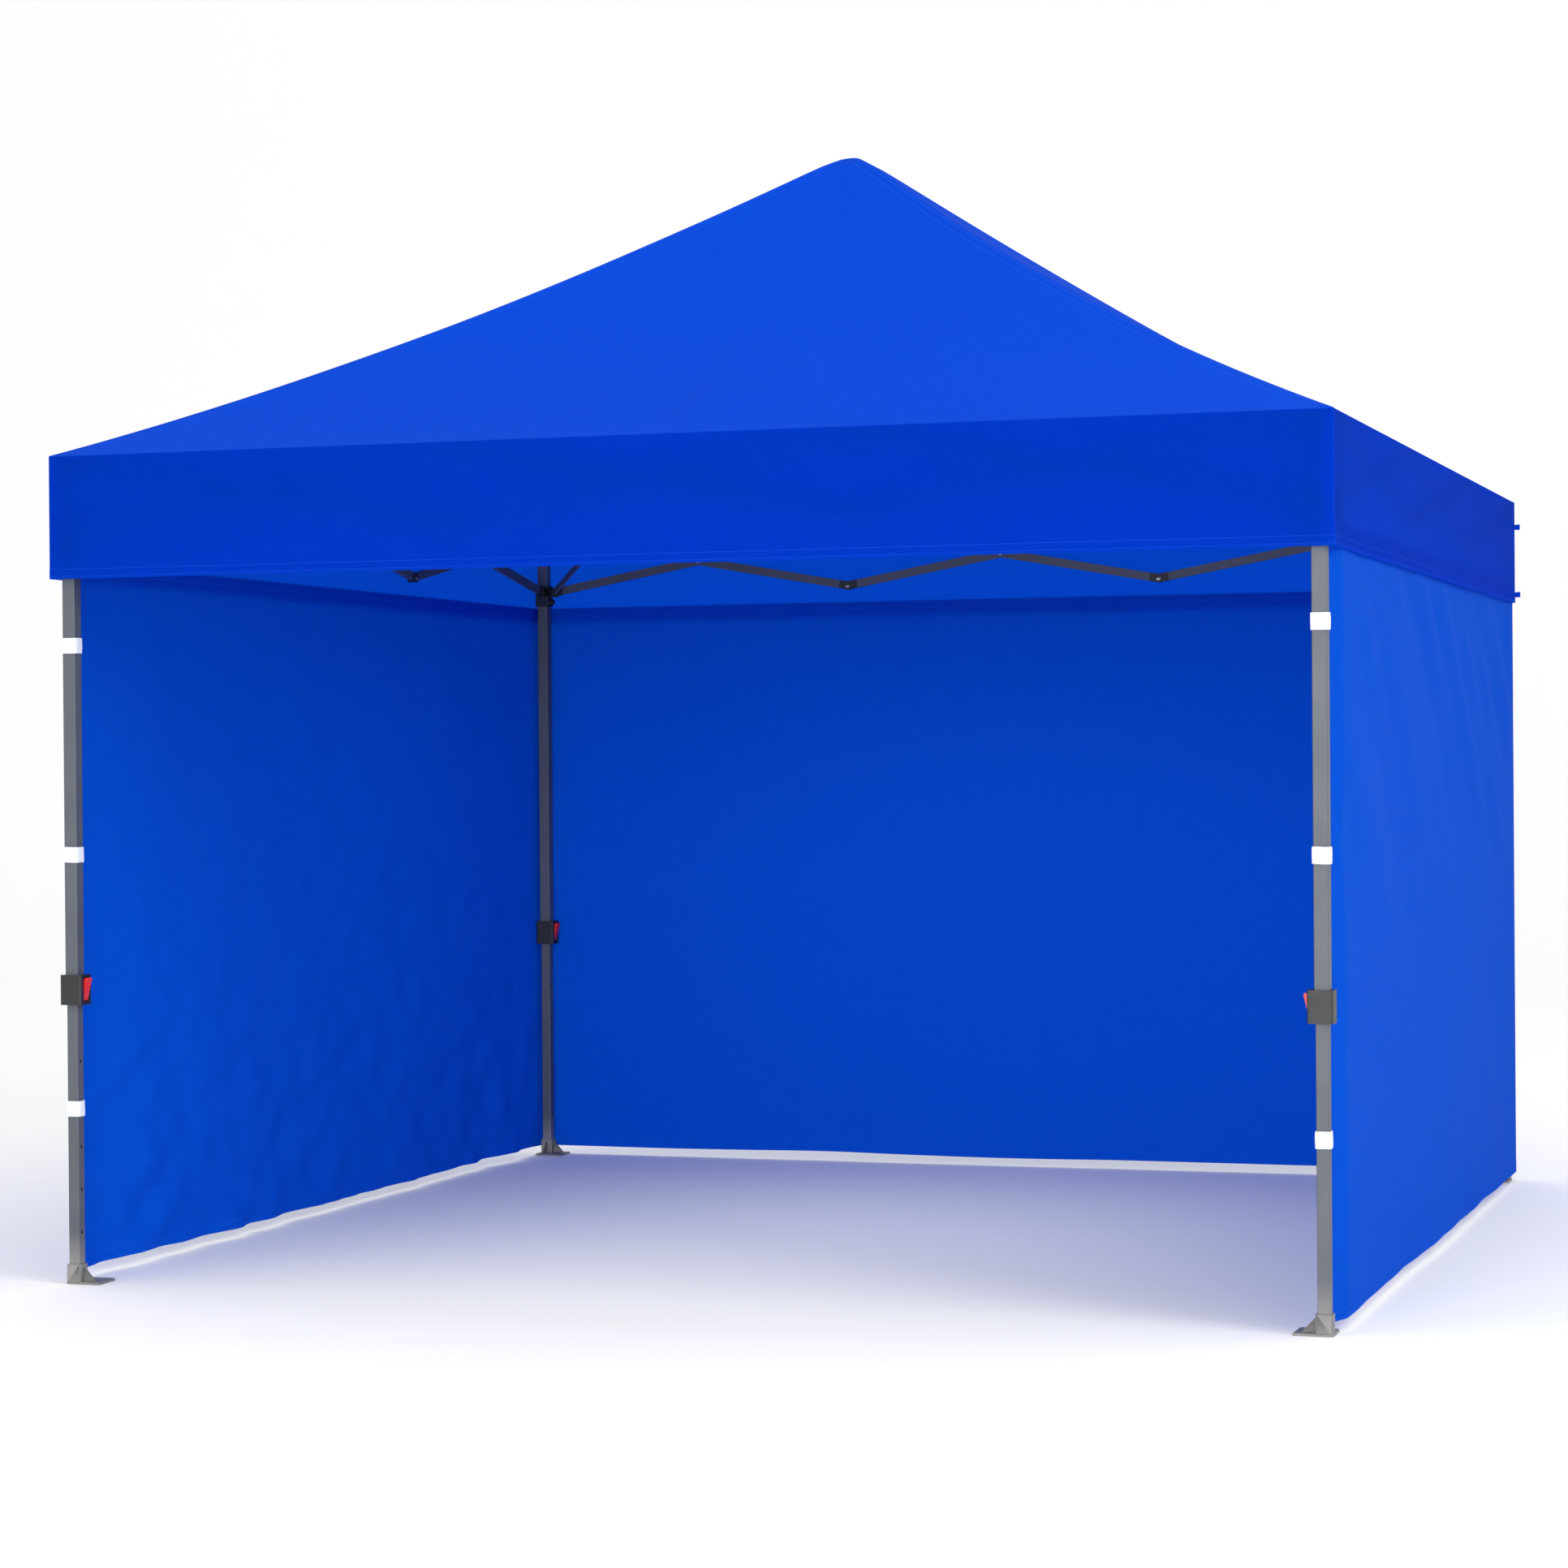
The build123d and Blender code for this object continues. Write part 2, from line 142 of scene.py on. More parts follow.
# grain: the dimples of a hammered coat or moulded plastic, and its slow change of tone
tree, at, out = group(
    "grain",
    [("Size", "NodeSocketFloat", 0.002), ("Patch", "NodeSocketFloat", 0.2)],
    [("Height", "NodeSocketFloat"), ("Tone", "NodeSocketFloat")],
)
where = add(tree, "ShaderNodeTexCoord").outputs["Object"]
fine = add(tree, "ShaderNodeTexNoise", {"Vector": where, "Detail": 3.0,
           "Scale": sum_of(tree, "DIVIDE", 1.0, at.outputs["Size"])})
slow = add(tree, "ShaderNodeTexNoise", {"Vector": where, "Detail": 4.0, "Roughness": 0.65,
           "Scale": sum_of(tree, "DIVIDE", 1.0, at.outputs["Patch"])})
tree.links.new(fine.outputs[0], out.inputs["Height"])
blended = sum_of(tree, "MULTIPLY_ADD", fine.outputs[0], 0.35, sum_of(tree, "MULTIPLY", slow.outputs[0], 0.65))
tree.links.new(blended, out.inputs["Tone"])

# dust: ground dust that thins out upwards, in uneven patches
tree, at, out = group("dust", [("Height", "NodeSocketFloat", 0.3)], [("Mask", "NodeSocketFloat")])
where = add(tree, "ShaderNodeTexCoord").outputs["Object"]
up = add(tree, "ShaderNodeSeparateXYZ", {0: where}).outputs[2]
low = add(tree, "ShaderNodeMapRange", {0: up, 1: 0.0, 2: at.outputs["Height"], 3: 1.0, 4: 0.0}).outputs[0]
patch = add(tree, "ShaderNodeTexNoise", {"Vector": where, "Scale": 9.0, "Detail": 6.0}).outputs[0]
tree.links.new(sum_of(tree, "MULTIPLY", low, patch), out.inputs["Mask"])


def coat(name, base, edge, roughness, size, depth, metallic=0.0, dusty=0.0):
    """Powder coat or moulded plastic: grain, patches of tone, handling sheen and ground dust."""
    made, tree, shader = finish_of(name, base, roughness, Metallic=metallic)
    grain = place(tree, "grain", Size=size, Patch=0.13)
    spread = add(tree, "ShaderNodeMapRange", {0: grain["Tone"], 1: 0.35, 2: 0.68}).outputs[0]
    tint(tree, shader, spread, edge, base)
    if dusty:
        mask = place(tree, "dust", Height=dusty)["Mask"]
        under = shader.inputs["Base Color"].links[0].from_socket
        mix = add(tree, "ShaderNodeMix", {0: mask, 6: under, 7: (0.42, 0.40, 0.36, 1.0)}, data_type="RGBA")
        tree.links.new(mix.outputs[2], shader.inputs["Base Color"])
    rub = add(tree, "ShaderNodeMapRange", {0: grain["Tone"], 3: roughness - 0.09, 4: roughness + 0.09})
    tree.links.new(rub.outputs[0], shader.inputs["Roughness"])
    relief(tree, shader, grain["Height"], depth)
    return made


tube_coat = coat(
    "grey_powder_coat", (0.070, 0.078, 0.095), (0.088, 0.097, 0.115), 0.45, 0.0016, 0.0003, 0.1, 0.12
)
foot_coat = coat(
    "foot_powder_coat", (0.020, 0.026, 0.036), (0.034, 0.041, 0.052), 0.5, 0.002, 0.0003, 0.2, 0.05
)
nylon = coat("black_nylon", (0.007, 0.008, 0.010), (0.014, 0.015, 0.018), 0.46, 0.0009, 0.0001)
zinc = coat("zinc_plate", (0.40, 0.41, 0.42), (0.55, 0.56, 0.57), 0.34, 0.0012, 0.00005, 0.9)

RIVET_REACH = 0.0070    # from a pivot's axis to its rivet head's rim
KNUCKLE_REACH = 0.0335  # from a pivot to the mouth of its knuckle


def dress(node, rule):
    """Gives a CAD node its materials, one for each polygon, by rule(corners, middle)."""
    piece = frame["nodes"][node]
    piece.data.materials.clear()
    for finish in (tube_coat, nylon, zinc, foot_coat):
        piece.data.materials.append(finish)
    points = [v.co.copy() for v in piece.data.vertices]
    for face in piece.data.polygons:
        face.material_index = rule([points[i] for i in face.vertices], face.center)


def ended(pivots, knuckles=True):
    """The rule for a bar: rivets on its pivots, knuckles round them, tube between them."""

    def rule(corners, middle):
        for pivot, axis in pivots:
            off = [(c - pivot) - axis * (c - pivot).dot(axis) for c in corners]
            if all(o.length < RIVET_REACH for o in off):
                return 2
        if knuckles and any((middle - p).length < KNUCKLE_REACH for p, _ in pivots[:2]):
            return 1
        return 0

    return rule


CORNERS = {"front_left": (-1, -1), "front_right": (1, -1), "rear_left": (-1, 1), "rear_right": (1, 1)}
SIDES = {"front": (1, 0), "rear": (1, 0), "left": (0, -1), "right": (0, -1)}
leg_axis = {}
for corner in CORNERS:
    lever = joints[f"{corner}_lock_lever_press"]["pos_m"]
    px, py = CORNERS[corner]
    leg_axis[corner] = Vector((lever[0] + px * 0.023, lever[1], 0.0))
BAR_END = 0.012         # from a bar's end pivot to its rounded tip

for side, (ux, uy) in SIDES.items():
    for number in (1, 2, 3):
        for way in ("down", "up"):
            node = f"{side}_truss_{way}_bar_{number}"
            low, high = (Vector(p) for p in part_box(node))
            middle = (low + high) / 2
            reach = (high - low) / 2
            along = Vector((abs(ux), abs(uy), 0.0))
            run = along * (reach.dot(along) - BAR_END)
            rise = Vector((0, 0, reach.z - BAR_END))
            drop = rise if (way == "up") == (ux > 0) else -rise
            across = Vector((abs(uy), abs(ux), 0.0))
            dress(node, ended([(middle - run - drop, across), (middle + run + drop, across), (middle, across)]))

HUB_REACH = 0.045       # the hub's pivots from its middle
STRUT_SHARE = 0.4467    # the strut's pin along the lower rafter
for corner, (px, py) in CORNERS.items():
    axis = Vector((py, -px, 0)) / math.sqrt(2)
    inward = Vector((-px, -py, 0)) / math.sqrt(2)
    foot = Vector(joints[f"{corner}_rafter_pivot"]["pos_m"])
    knee = Vector(joints[f"{corner}_knee_pivot"]["pos_m"])
    low_pin = Vector(joints[f"{corner}_strut_pivot"]["pos_m"])
    hub_pin = Vector((0, 0, joints["peak_hub_pivot"]["pos_m"][2])) - inward * HUB_REACH
    pin = foot.lerp(knee, STRUT_SHARE)
    dress(f"{corner}_lower_rafter", ended([(foot, axis), (knee, axis), (pin, axis)]))
    dress(f"{corner}_upper_rafter", ended([(knee, axis), (hub_pin, axis)]))
    dress(f"{corner}_rafter_strut", ended([(low_pin, axis), (pin, axis)], False))

    housing_top = joints[f"{corner}_lock_lever_press"]["pos_m"][2] + 0.0565
    centre = leg_axis[corner]
    side_pins = []
    for ax, ay in ((-px, 0), (0, -py)):
        side_pins.append((centre + Vector((ax * 0.035, ay * 0.035, 1.908)), Vector((abs(ay), abs(ax), 0))))
    side_pins.append((foot, axis))

    def leg_rule(corners, middle):
        for pivot, turn in side_pins:
            off = [(c - pivot) - turn * (c - pivot).dot(turn) for c in corners]
            if all(o.length < RIVET_REACH for o in off):
                return 2
        wide = max(abs(c.x - centre.x) for c in corners), max(abs(c.y - centre.y) for c in corners)
        if middle.z < housing_top or (max(wide) > 0.0165 and middle.z > 1.8):
            return 1
        return 0

    dress(f"{corner}_outer_leg", leg_rule)
    dress(f"{corner}_inner_leg", lambda corners, middle: 3 if middle.z < 0.02 else 0)
    dress(f"{corner}_slider", lambda corners, middle: 1)
    dress(f"{corner}_slider_button", lambda corners, middle: 1)
dress("peak_hub", lambda corners, middle: 1)

# ---- lock levers ----
# A red moulded rocker in the side of each lock housing. Its foot pulls the spring pin out of the
# inner leg's holes, and its outer face is slightly dulled by thumbs.
lever_red = coat("red_plastic", (0.62, 0.008, 0.012), (0.72, 0.014, 0.018), 0.33, 0.0012, 0.00008)
for corner in CORNERS:
    levers = frame["nodes"][f"{corner}_lock_lever"]
    levers.data.materials.clear()
    levers.data.materials.append(lever_red)

# ---- cloth ----
# Coated polyester cloth, dyed royal blue, with a fine plain weave. Panels are joined by felled
# seams and edged with turned, lock-stitched hems. The coating gives it a low sheen.


# plain_weave: threads over and under along the cloth's own two directions, in metres
tree, at, out = group(
    "plain_weave",
    [("Cloth", "NodeSocketVector", None), ("Thread", "NodeSocketFloat", 0.0006)],
    [("Height", "NodeSocketFloat"), ("Tone", "NodeSocketFloat")],
)
turns = sum_of(tree, "DIVIDE", math.pi, at.outputs["Thread"])
part = add(tree, "ShaderNodeSeparateXYZ", {0: at.outputs["Cloth"]}).outputs
warp = sum_of(tree, "SINE", sum_of(tree, "MULTIPLY", part[0], turns))
weft = sum_of(tree, "SINE", sum_of(tree, "MULTIPLY", part[1], turns))
crossed = sum_of(tree, "MULTIPLY", warp, weft)
tree.links.new(sum_of(tree, "MULTIPLY_ADD", crossed, 0.5, 0.5), out.inputs["Height"])
slub = add(tree, "ShaderNodeTexNoise",
           {"Vector": at.outputs["Cloth"], "Scale": 26.0, "Detail": 5.0, "Roughness": 0.7})
tree.links.new(slub.outputs[0], out.inputs["Tone"])

# stitches: rows of lock stitch beside an edge; Edge is the distance from it, Along runs with it
tree, at, out = group(
    "stitches",
    [("Edge", "NodeSocketFloat", 0.0), ("Along", "NodeSocketFloat", 0.0), ("Row", "NodeSocketFloat", 0.02)],
    [("Mask", "NodeSocketFloat"), ("Pucker", "NodeSocketFloat")],
)
off = sum_of(tree, "ABSOLUTE", sum_of(tree, "SUBTRACT", at.outputs["Edge"], at.outputs["Row"]))
thread = sum_of(tree, "LESS_THAN", off, 0.0007)
pitch = sum_of(tree, "FRACT", sum_of(tree, "DIVIDE", at.outputs["Along"], 0.0042))
tree.links.new(sum_of(tree, "MULTIPLY", thread, sum_of(tree, "LESS_THAN", pitch, 0.72)), out.inputs["Mask"])
furrow = add(tree, "ShaderNodeMapRange", {0: off, 1: 0.0, 2: 0.004, 3: 0.0, 4: 1.0},
             interpolation_type="SMOOTHSTEP")
tree.links.new(furrow.outputs[0], out.inputs["Pucker"])

# faint_creases: fold lines left by packing, on a wide grid that wanders a little
tree, at, out = group(
    "faint_creases",
    [("Cloth", "NodeSocketVector", None), ("Pitch", "NodeSocketFloat", 0.37)],
    [("Height", "NodeSocketFloat")],
)
drift = add(tree, "ShaderNodeTexNoise", {"Vector": at.outputs["Cloth"], "Scale": 2.2, "Detail": 3.0})
small = add(tree, "ShaderNodeVectorMath", {0: drift.outputs[1], "Scale": 0.05}, operation="SCALE")
moved = add(tree, "ShaderNodeVectorMath", {0: at.outputs["Cloth"], 1: small.outputs[0]}, operation="ADD")
cells = add(tree, "ShaderNodeSeparateXYZ", {0: moved.outputs[0]}).outputs
ridge = []
for axis_value in (cells[0], cells[1]):
    place_in = sum_of(tree, "FRACT", sum_of(tree, "DIVIDE", axis_value, at.outputs["Pitch"]))
    away = sum_of(tree, "ABSOLUTE", sum_of(tree, "SUBTRACT", place_in, 0.5))
    ridge.append(add(tree, "ShaderNodeMapRange", {0: away, 1: 0.0, 2: 0.03, 3: 1.0, 4: 0.0},
                     interpolation_type="SMOOTHSTEP").outputs[0])
tree.links.new(sum_of(tree, "ADD", ridge[0], ridge[1]), out.inputs["Height"])


def cloth_finish(name, base, light, rows, glow, share, thread=(0.02, 0.11, 0.72)):
    """Blue coated cloth. Its map is in metres; edge_m holds each point's distance from a hem."""
    made, tree, shader = finish_of(name, base, 0.5, Specular_IOR_Level=0.004)
    cloth = add(tree, "ShaderNodeUVMap", uv_map="cloth_m").outputs[0]
    edge = add(tree, "ShaderNodeAttribute", attribute_name="edge_m", attribute_type="GEOMETRY").outputs["Fac"]
    along = add(tree, "ShaderNodeAttribute", attribute_name="along_m", attribute_type="GEOMETRY").outputs["Fac"]
    weave = place(tree, "plain_weave", Cloth=cloth, Thread=0.0008)
    creases = place(tree, "faint_creases", Cloth=cloth, Pitch=0.39)
    tone = add(tree, "ShaderNodeMapRange", {0: weave["Tone"], 1: 0.3, 2: 0.72}).outputs[0]
    mix = add(tree, "ShaderNodeMix", {0: tone, 6: (*base, 1.0), 7: (*light, 1.0)}, data_type="RGBA").outputs[2]
    height = sum_of(tree, "MULTIPLY", weave["Height"], 0.10)
    height = sum_of(tree, "MULTIPLY_ADD", creases["Height"], 0.55, height)
    for row in rows:
        seam = place(tree, "stitches", Edge=edge, Along=along, Row=row)
        mix = add(tree, "ShaderNodeMix", {0: seam["Mask"], 6: mix, 7: (*thread, 1.0)},
                  data_type="RGBA").outputs[2]
        height = sum_of(tree, "MULTIPLY_ADD", seam["Pucker"], 0.9, height)
    tree.links.new(mix, shader.inputs["Base Color"])
    rub = add(tree, "ShaderNodeMapRange", {0: weave["Tone"], 3: 0.46, 4: 0.64}).outputs[0]
    tree.links.new(rub, shader.inputs["Roughness"])
    relief(tree, shader, height, 0.0011, 0.8)
    through = add(tree, "ShaderNodeBsdfTranslucent", {"Color": (*glow, 1.0)})
    both = add(tree, "ShaderNodeMixShader", {0: share, 1: shader.outputs[0], 2: through.outputs[0]})
    tree.links.new(both.outputs[0], tree.nodes["Material Output"].inputs[0])
    return made


roof_cloth = cloth_finish(
    "roof_cloth", (0.0020, 0.060, 0.58), (0.0028, 0.068, 0.63), (0.006, 0.022), (0.03, 0.22, 1.0), 0.18
)
# the valance is the same cloth as the roof, but its base is darker: painted shade for the less light that falls
# on the hanging band
shaded_band_cloth = cloth_finish(
    "valance_cloth_with_painted_shade", (0.0010, 0.053, 0.45), (0.0015, 0.060, 0.49), (0.006, 0.022), (0.05, 0.34, 1.0), 0.62
)
# the wall cloth's base is greener and a little lighter than the roof's: painted light that brightens the shaded
# insides of the walls
lit_wall_cloth = cloth_finish(
    "lit_wall_cloth", (0.0022, 0.082, 0.54), (0.0030, 0.091, 0.58), (0.005, 0.024), (0.05, 0.36, 1.0), 0.36
)


def cloth_piece(name, points, faces, normals, maps, thick, finish):
    """A closed shell of cloth round a middle surface. Both faces are shaded with its normals, so
    that pieces cut from one surface meet without a line. thick is one value for each point."""
    points = np.asarray(points, float)
    normals = np.asarray(normals, float)
    thick = np.broadcast_to(np.asarray(thick, float), (len(points),))[:, None]
    count = len(points)
    shell = np.concatenate([points + normals * thick / 2, points - normals * thick / 2])
    uses = {}
    for face in faces:
        for a, b in zip(face, face[1:] + face[:1]):
            uses[(a, b)] = uses.get((a, b), 0) + 1
    rim = [(a, b) for (a, b) in uses if (b, a) not in uses]
    upper = [tuple(f) for f in faces]
    lower = [tuple(count + i for i in reversed(f)) for f in faces]
    sides = [(b, a, count + a, count + b) for a, b in rim]
    mesh = bpy.data.meshes.new(name)
    mesh.from_pydata([tuple(p) for p in shell], [], upper + lower + sides)
    mesh.update()
    layer = mesh.uv_layers.new(name="cloth_m")
    edge = mesh.attributes.new("edge_m", "FLOAT", "POINT")
    along = mesh.attributes.new("along_m", "FLOAT", "POINT")
    edge.data.foreach_set("value", np.tile(maps[:, 2], 2))
    along.data.foreach_set("value", np.tile(maps[:, 3], 2))
    owner = np.zeros(len(mesh.loops), int)
    mesh.loops.foreach_get("vertex_index", owner)
    layer.data.foreach_set("uv", np.tile(maps[:, :2], (2, 1))[owner].ravel())
    shade = np.concatenate([normals, -normals])[owner]
    for face in list(mesh.polygons)[len(upper) + len(lower):]:
        for i in face.loop_indices:
            shade[i] = face.normal
    mesh.shade_smooth()
    mesh.normals_split_custom_set([tuple(n) for n in shade])
    piece = bpy.data.objects.new(name, mesh)
    bpy.context.scene.collection.objects.link(piece)
    mesh.materials.append(finish)
    return piece


def grid_faces(columns, rows):
    """Quads of a grid whose points run along the columns first."""
    return [
        (r * columns + c, r * columns + c + 1, (r + 1) * columns + c + 1, (r + 1) * columns + c)
        for r in range(rows - 1)
        for c in range(columns - 1)
    ]


def surface_normals(points, faces):
    """Normals of a middle surface at its points, weighted by the faces' areas."""
    points = np.asarray(points, float)
    total = np.zeros_like(points)
    for face in faces:
        a, b, c, d = (points[i] for i in (face if len(face) == 4 else (*face, face[0])))
        normal = np.cross(c - a, d - b)
        for i in face:
            total[i] += normal
    return total / np.maximum(np.linalg.norm(total, axis=1), 1e-12)[:, None]


def ripple(x, y, z=0.0):
    """Smooth noise from -1 to 1 at a point given in its own wavelengths."""
    return noise.noise(Vector((x, y, z)))


# ---- roof of the cover ----
# Four triangular panels of the cloth, joined by felled seams along the ridges and stretched from
# the frame's corners to the peak. It is one continuous sheet, cut here at the middle of each side
# and at the rafters' knees, so that each part can go with its rafter when the frame folds.
cover_low, cover_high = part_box("cover")
EAVE_HALF = cover_high[0]
EAVE_Z = 1.930
PEAK_RISE = 0.86
RIDGE_SAG = 0.26        # how far the ridges hang below a straight line, as a share of the rise
PEAK_ROUND = 0.030      # radius over which the hub's cap rounds the peak
KNEE_LINE = 1.400       # the cut over the rafters' knees, |x| + |y|
CROWN_HALF = 0.140      # half width of the part that stays on the hub
CLOTH_THICK = 0.0011


def roof_height(x, y):
    """Height of the roof's middle surface over a point of the ground."""
    ring = max(abs(x), abs(y))
    side = min(abs(x), abs(y)) / max(ring, 1e-6)
    rounded = math.sqrt(ring * ring + PEAK_ROUND * PEAK_ROUND)
    t = max(0.0, 1 - rounded / EAVE_HALF)
    height = EAVE_Z + PEAK_RISE * (t - RIDGE_SAG * t * (1 - t))
    inner = math.sin(math.pi * min(1.0, max(0.0, (EAVE_HALF - ring) / EAVE_HALF))) ** 0.8
    hollow = 0.022 * inner * (1 - side**2)
    angle = math.atan2(abs(y), abs(x)) * 4
    tension = 0.0022 * inner * ripple(angle * 2.2 + 3 * (x > 0) + 7 * (y > 0), ring * 1.1)
    soft = 0.0045 * inner * ripple(x * 1.7, y * 1.7, 4.0)
    seam = 0.0011 * (1.0 if (1 - side) * ring < 0.010 and ring > 0.05 else 0.0)
    return height - hollow + tension + soft + seam


SPLITS = [
    0.0, 0.05, 0.12, 0.19, 0.26, 0.33, 0.40, 0.47, 0.54, 0.61, 0.68, 0.75, 0.81, 0.87, 0.92, 0.96, 0.985, 1.0
]
OUTER_RINGS = 22
INNER_RINGS = 26
CROWN_RINGS = 8


def quadrant(px, py, kind):
    """Plan points and faces of one corner's part of the roof: outer, inner or crown."""
    line = [(s, 1.0) for s in SPLITS] + [(1.0, s) for s in reversed(SPLITS[:-1])]
    eave = [(a * EAVE_HALF, b * EAVE_HALF) for a, b in line]
    knee = [(a / (a + b) * KNEE_LINE, b / (a + b) * KNEE_LINE) for a, b in line]
    crown = [(a * CROWN_HALF, b * CROWN_HALF) for a, b in line]
    start, end, rings = {
        "outer": (eave, knee, OUTER_RINGS),
        "inner": (knee, crown, INNER_RINGS),
        "crown": (crown, [(0.004 * a, 0.004 * b) for a, b in line], CROWN_RINGS),
    }[kind]
    points = []
    for ring in range(rings):
        share = ring / (rings - 1)
        for (x0, y0), (x1, y1) in zip(start, end):
            points.append((px * (x0 + (x1 - x0) * share), py * (y0 + (y1 - y0) * share)))
    faces = grid_faces(len(line), rings)
    if px * py > 0:
        faces = [tuple(reversed(f)) for f in faces]
    return points, faces


def roof_normal(x, y):
    """The roof's normal from its height a little way off, the same for every part."""
    step = 0.004
    dx = (roof_height(x + step, y) - roof_height(x - step, y)) / (2 * step)
    dy = (roof_height(x, y + step) - roof_height(x, y - step)) / (2 * step)
    normal = np.array((-dx, -dy, 1.0))
    return normal / np.linalg.norm(normal)


def roof_maps(x, y):
    """Cloth directions in metres, distance from the nearest ridge or eave, and run along it."""
    ring, side = max(abs(x), abs(y)), min(abs(x), abs(y))
    slope = (EAVE_HALF - ring) * 1.14
    cross = y if abs(x) > abs(y) else x
    to_ridge = (ring - side) * 0.72
    if to_ridge < slope:
        return cross, slope, to_ridge, ring * 1.5
    return cross, slope, slope, cross


def roof_part(name, plan, faces):
    """A piece of the roof's shell over its plan points."""
    points = [(x, y, roof_height(x, y)) for x, y in plan]
    normals = [roof_normal(x, y) for x, y in plan]
    maps = np.array([roof_maps(x, y) for x, y in plan])
    piece = cloth_piece(name, points, faces, normals, maps, CLOTH_THICK, roof_cloth)
    return piece


for corner, (px, py) in CORNERS.items():
    for kind, body in (("outer", f"{corner}_lower_rafter"), ("inner", f"{corner}_upper_rafter")):
        plan, faces = quadrant(px, py, kind)
        piece = roof_part(f"cover_{kind}_{corner}", plan, faces)
        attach(piece, body)
        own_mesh(piece)
        if kind == "outer":
            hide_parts("cover")

crown_points, crown_faces = [], []
for corner, (px, py) in CORNERS.items():
    plan, faces = quadrant(px, py, "crown")
    base = len(crown_points)
    crown_points += plan
    crown_faces += [tuple(i + base for i in f) for f in faces]
where_is = {}
merged, kept = [], []
for x, y in crown_points:
    key = (round(x, 6), round(y, 6))
    if key not in where_is:
        where_is[key] = len(kept)
        kept.append((x, y))
    merged.append(where_is[key])
crown_faces = [tuple(merged[i] for i in f) for f in crown_faces]
tip = len(kept)
kept.append((0.0, 0.0))
uses = {}
for f in crown_faces:
    for a, b in zip(f, f[1:] + f[:1]):
        uses[(a, b)] = 1
close = [(b, a) for a, b in uses if (b, a) not in uses and max(abs(kept[a][0]), abs(kept[a][1])) < 0.01]
points = [(x, y, roof_height(x, y)) for x, y in kept]
crown = cloth_piece(
    "cover_crown",
    points,
    crown_faces + [(a, b, tip) for a, b in close],
    [roof_normal(x, y) for x, y in kept],
    np.array([roof_maps(x, y) for x, y in kept]),
    CLOTH_THICK,
    roof_cloth,
)
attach(crown, "peak_hub")
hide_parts("cover")

# ---- valance ----
# A straight band of the same cloth, 285 mm deep, sewn to the roof's eaves on all four sides. Its
# lower edge is a turned hem with two rows of stitching, and it hangs free in slow waves.
VALANCE_DEEP = EAVE_Z - cover_low[2]
HEM_DEEP = 0.026
VALANCE_COLUMNS = 151
VALANCE_LEVELS = [0, .02, .06, .12, .19, .27, .35, .44, .53, .62, .71, .79, .86, .905, .925, .96, 1.0]
VALANCES = {
    "front": ((-1, -1), (1, 0), (0, -1), "front_left", 0.5, 3.0),
    "rear": ((-1, 1), (1, 0), (0, 1), "rear_left", 1.0, 11.0),
    "left": ((-1, 1), (0, -1), (-1, 0), "rear_left", 0.9, 23.0),
    "right": ((1, 1), (0, -1), (1, 0), "rear_right", 1.6, 41.0),
}


def valance_wave(s, depth, loose, seed):
    """How far the band stands out at a share s along the side and a share depth down."""
    hold = min(1.0, min(s, 1 - s) / 0.06)
    hold = hold * hold * (3 - 2 * hold)
    wave = 0.008 * ripple(s * 7.5, seed)
    wave += 0.0045 * ripple(s * 19.0, seed + 2)
    wave += 0.0022 * ripple(s * 41, seed + 5)
    bow = -0.006 * math.sin(math.pi * s)
    fine = 0.0012 * ripple(s * 26, depth * 3, seed)
    return hold * (loose * wave * depth**1.4 + bow * depth**1.2 + fine)


for side, (start, along, outward, corner, loose, seed) in VALANCES.items():
    points, maps, thick = [], [], []
    origin = Vector((start[0] * EAVE_HALF, start[1] * EAVE_HALF, 0))
    run = Vector((*along, 0)) * 2 * EAVE_HALF
    for depth in VALANCE_LEVELS:
        for column in range(VALANCE_COLUMNS):
            s = column / (VALANCE_COLUMNS - 1)
            off = valance_wave(s, depth, loose, seed)
            if side != "front":
                off = 0.5 * (off + math.hypot(off, 0.004)) - 0.002
            sag = 0.0025 * loose * depth * ripple(s * 11, seed + 9)
            spot = origin + run * s + Vector((*outward, 0)) * off
            points.append((spot.x, spot.y, EAVE_Z - VALANCE_DEEP * depth - sag))
            along_m = s * 2 * EAVE_HALF
            maps.append((along_m, depth * VALANCE_DEEP, (1 - depth) * VALANCE_DEEP, along_m))
            thick.append(CLOTH_THICK if depth < 0.915 else CLOTH_THICK * 2.1)
    faces = grid_faces(VALANCE_COLUMNS, len(VALANCE_LEVELS))
    normals = surface_normals(points, faces)
    if normals[0] @ np.array((*outward, 0)) < 0:
        faces = [tuple(reversed(f)) for f in faces]
        normals = -normals
    band = cloth_piece(f"valance_{side}", points, faces, normals, np.array(maps), thick, shaded_band_cloth)
    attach(band, f"{corner}_outer_leg")
    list(along)
    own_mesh(band)
    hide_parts("cover")

